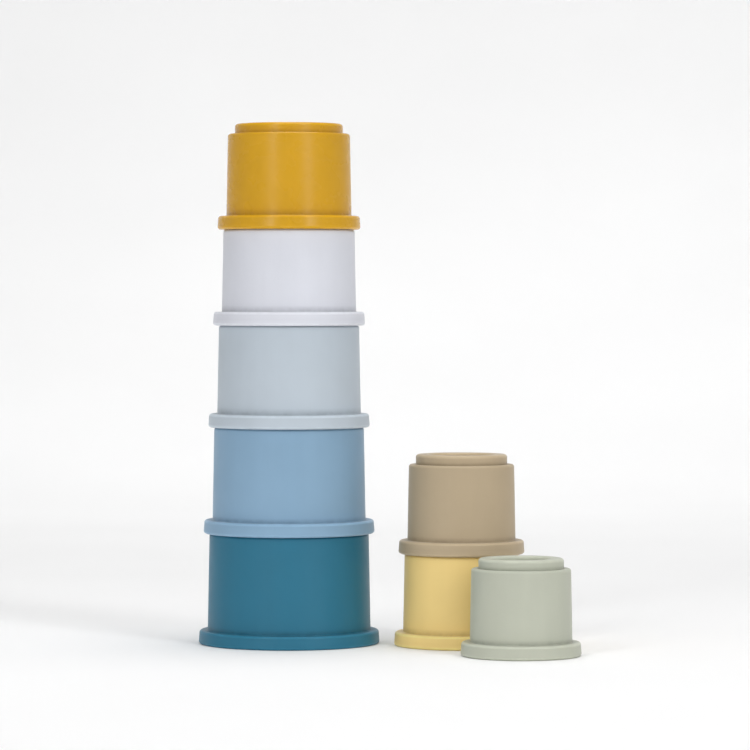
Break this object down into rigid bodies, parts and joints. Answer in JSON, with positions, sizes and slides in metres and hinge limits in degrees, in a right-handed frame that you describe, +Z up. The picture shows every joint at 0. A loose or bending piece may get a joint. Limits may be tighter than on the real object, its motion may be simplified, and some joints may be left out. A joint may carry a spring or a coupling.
{
  "type": "stacking cup tower",
  "caption": "Tapering round cups with thick rims, stood mouth down in a tower, a short stack and a single; each mouth drops over the raised ring of the cup below.",
  "frame": {"origin": "on the tower's axis, at the surface that the cups stand on", "axes": "+Z up along the tower's axis, +X towards the short stack and the single cup, -Y towards the viewer"},
  "size_m": [0.1789, 0.1373, 0.247],
  "materials": {
    "teal_plastic": "matte",
    "sky_blue_plastic": "matte",
    "pale_blue_plastic": "matte",
    "white_plastic": "matte",
    "mustard_plastic": "matte",
    "yellow_plastic": "matte",
    "taupe_plastic": "matte",
    "sage_plastic": "matte"
  },
  "bodies": {
    "cup_1": {"cup_1_teal": "teal_plastic"},
    "cup_2": {"cup_2_sky_blue": "sky_blue_plastic"},
    "cup_3": {"cup_3_pale_blue": "pale_blue_plastic"},
    "cup_4": {"cup_4_white": "white_plastic"},
    "cup_5": {"cup_5_mustard": "mustard_plastic"},
    "cup_6": {"cup_6_yellow": "yellow_plastic"},
    "cup_7": {"cup_7_taupe": "taupe_plastic"},
    "cup_8": {"cup_8_sage": "sage_plastic"}
  },
  "joints": [
    {"name": "lift_cup_2", "type": "slide", "parent": "cup_1", "child": "cup_2", "axis": [0, 0, 1], "range_m": [0, 0.06]},
    {"name": "lift_cup_3", "type": "slide", "parent": "cup_2", "child": "cup_3", "axis": [0, 0, 1], "range_m": [0, 0.06]},
    {"name": "lift_cup_4", "type": "slide", "parent": "cup_3", "child": "cup_4", "axis": [0, 0, 1], "range_m": [0, 0.06]},
    {"name": "lift_cup_5", "type": "slide", "parent": "cup_4", "child": "cup_5", "axis": [0, 0, 1], "range_m": [0, 0.06]},
    {"name": "lift_cup_6", "type": "slide", "parent": "cup_1", "child": "cup_6", "axis": [0, 0, 1], "range_m": [0, 0.06]},
    {"name": "lift_cup_7", "type": "slide", "parent": "cup_6", "child": "cup_7", "axis": [0, 0, 1], "range_m": [0, 0.06]},
    {"name": "lift_cup_8", "type": "slide", "parent": "cup_1", "child": "cup_8", "axis": [0, 0, 1], "range_m": [0, 0.06]}
  ]
}
